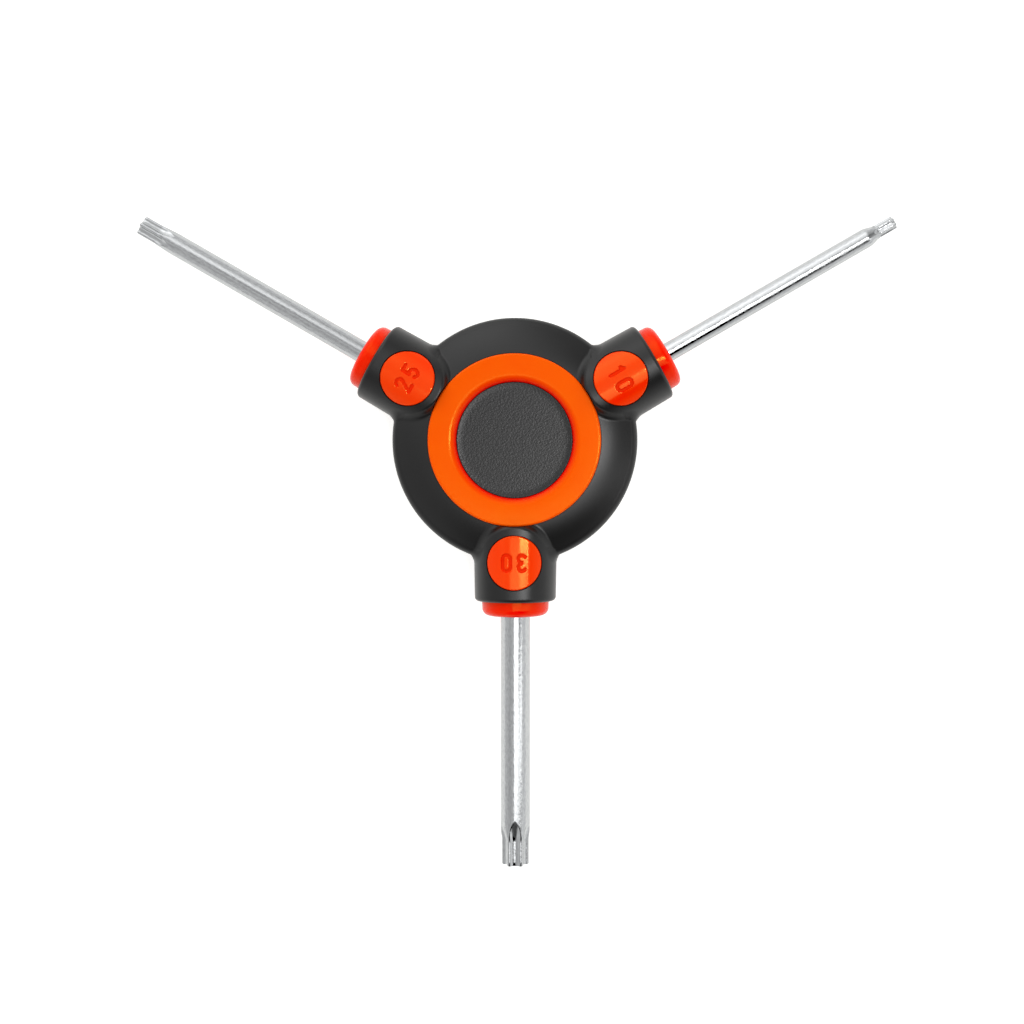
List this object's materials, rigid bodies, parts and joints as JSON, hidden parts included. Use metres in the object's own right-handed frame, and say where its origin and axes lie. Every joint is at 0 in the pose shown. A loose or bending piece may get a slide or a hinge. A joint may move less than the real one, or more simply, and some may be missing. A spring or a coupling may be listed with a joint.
{
  "type": "y wrench",
  "caption": "Y-shaped hand wrench: a round two-shell hub with an inlaid ring and cap carries steel keys of different sizes with six-lobed drive tips",
  "frame": {"origin": "centre of the rear cap's flat face, on the hub's axis; the keys lie in the plane z = 5.6 mm and the tool rests on its necks at z = -2.8 mm", "axes": "+Z along the hub's axis towards the front, where the size tabs are read; -Y along the size 30 key; the size 25 key is at 150 degrees and the size 10 key at 30 degrees from +X"},
  "size_m": [0.1556, 0.1328, 0.0168],
  "materials": {
    "black_nylon": "fine satin, moulded",
    "textured_nylon": "fine spark-eroded texture",
    "orange_abs": "semi-gloss, moulded",
    "tab_abs": "semi-gloss, moulded, engraved number",
    "collar_abs": "semi-gloss, moulded",
    "chromed_steel": "satin chrome over drawn bar",
    "plain_steel": "zinc plated",
    "sintered_steel": "as sintered"
  },
  "bodies": {
    "root": {"anchor_pin_10": "plain_steel", "anchor_pin_25": "plain_steel", "anchor_pin_30": "plain_steel", "collar_10": "collar_abs", "collar_25": "collar_abs", "collar_30": "collar_abs", "front_cap": "textured_nylon", "front_ring": "orange_abs", "front_shell": "black_nylon", "front_tab_10": "tab_abs", "front_tab_25": "tab_abs", "front_tab_30": "tab_abs", "hub_core": "sintered_steel", "key_10": "chromed_steel", "key_25": "chromed_steel", "key_30": "chromed_steel", "rear_cap": "textured_nylon", "rear_ring": "orange_abs", "rear_shell": "black_nylon", "rear_tab_10": "tab_abs", "rear_tab_25": "tab_abs", "rear_tab_30": "tab_abs", "shell_screw_1": "plain_steel", "shell_screw_2": "plain_steel", "shell_screw_3": "plain_steel"}
  },
  "joints": []
}
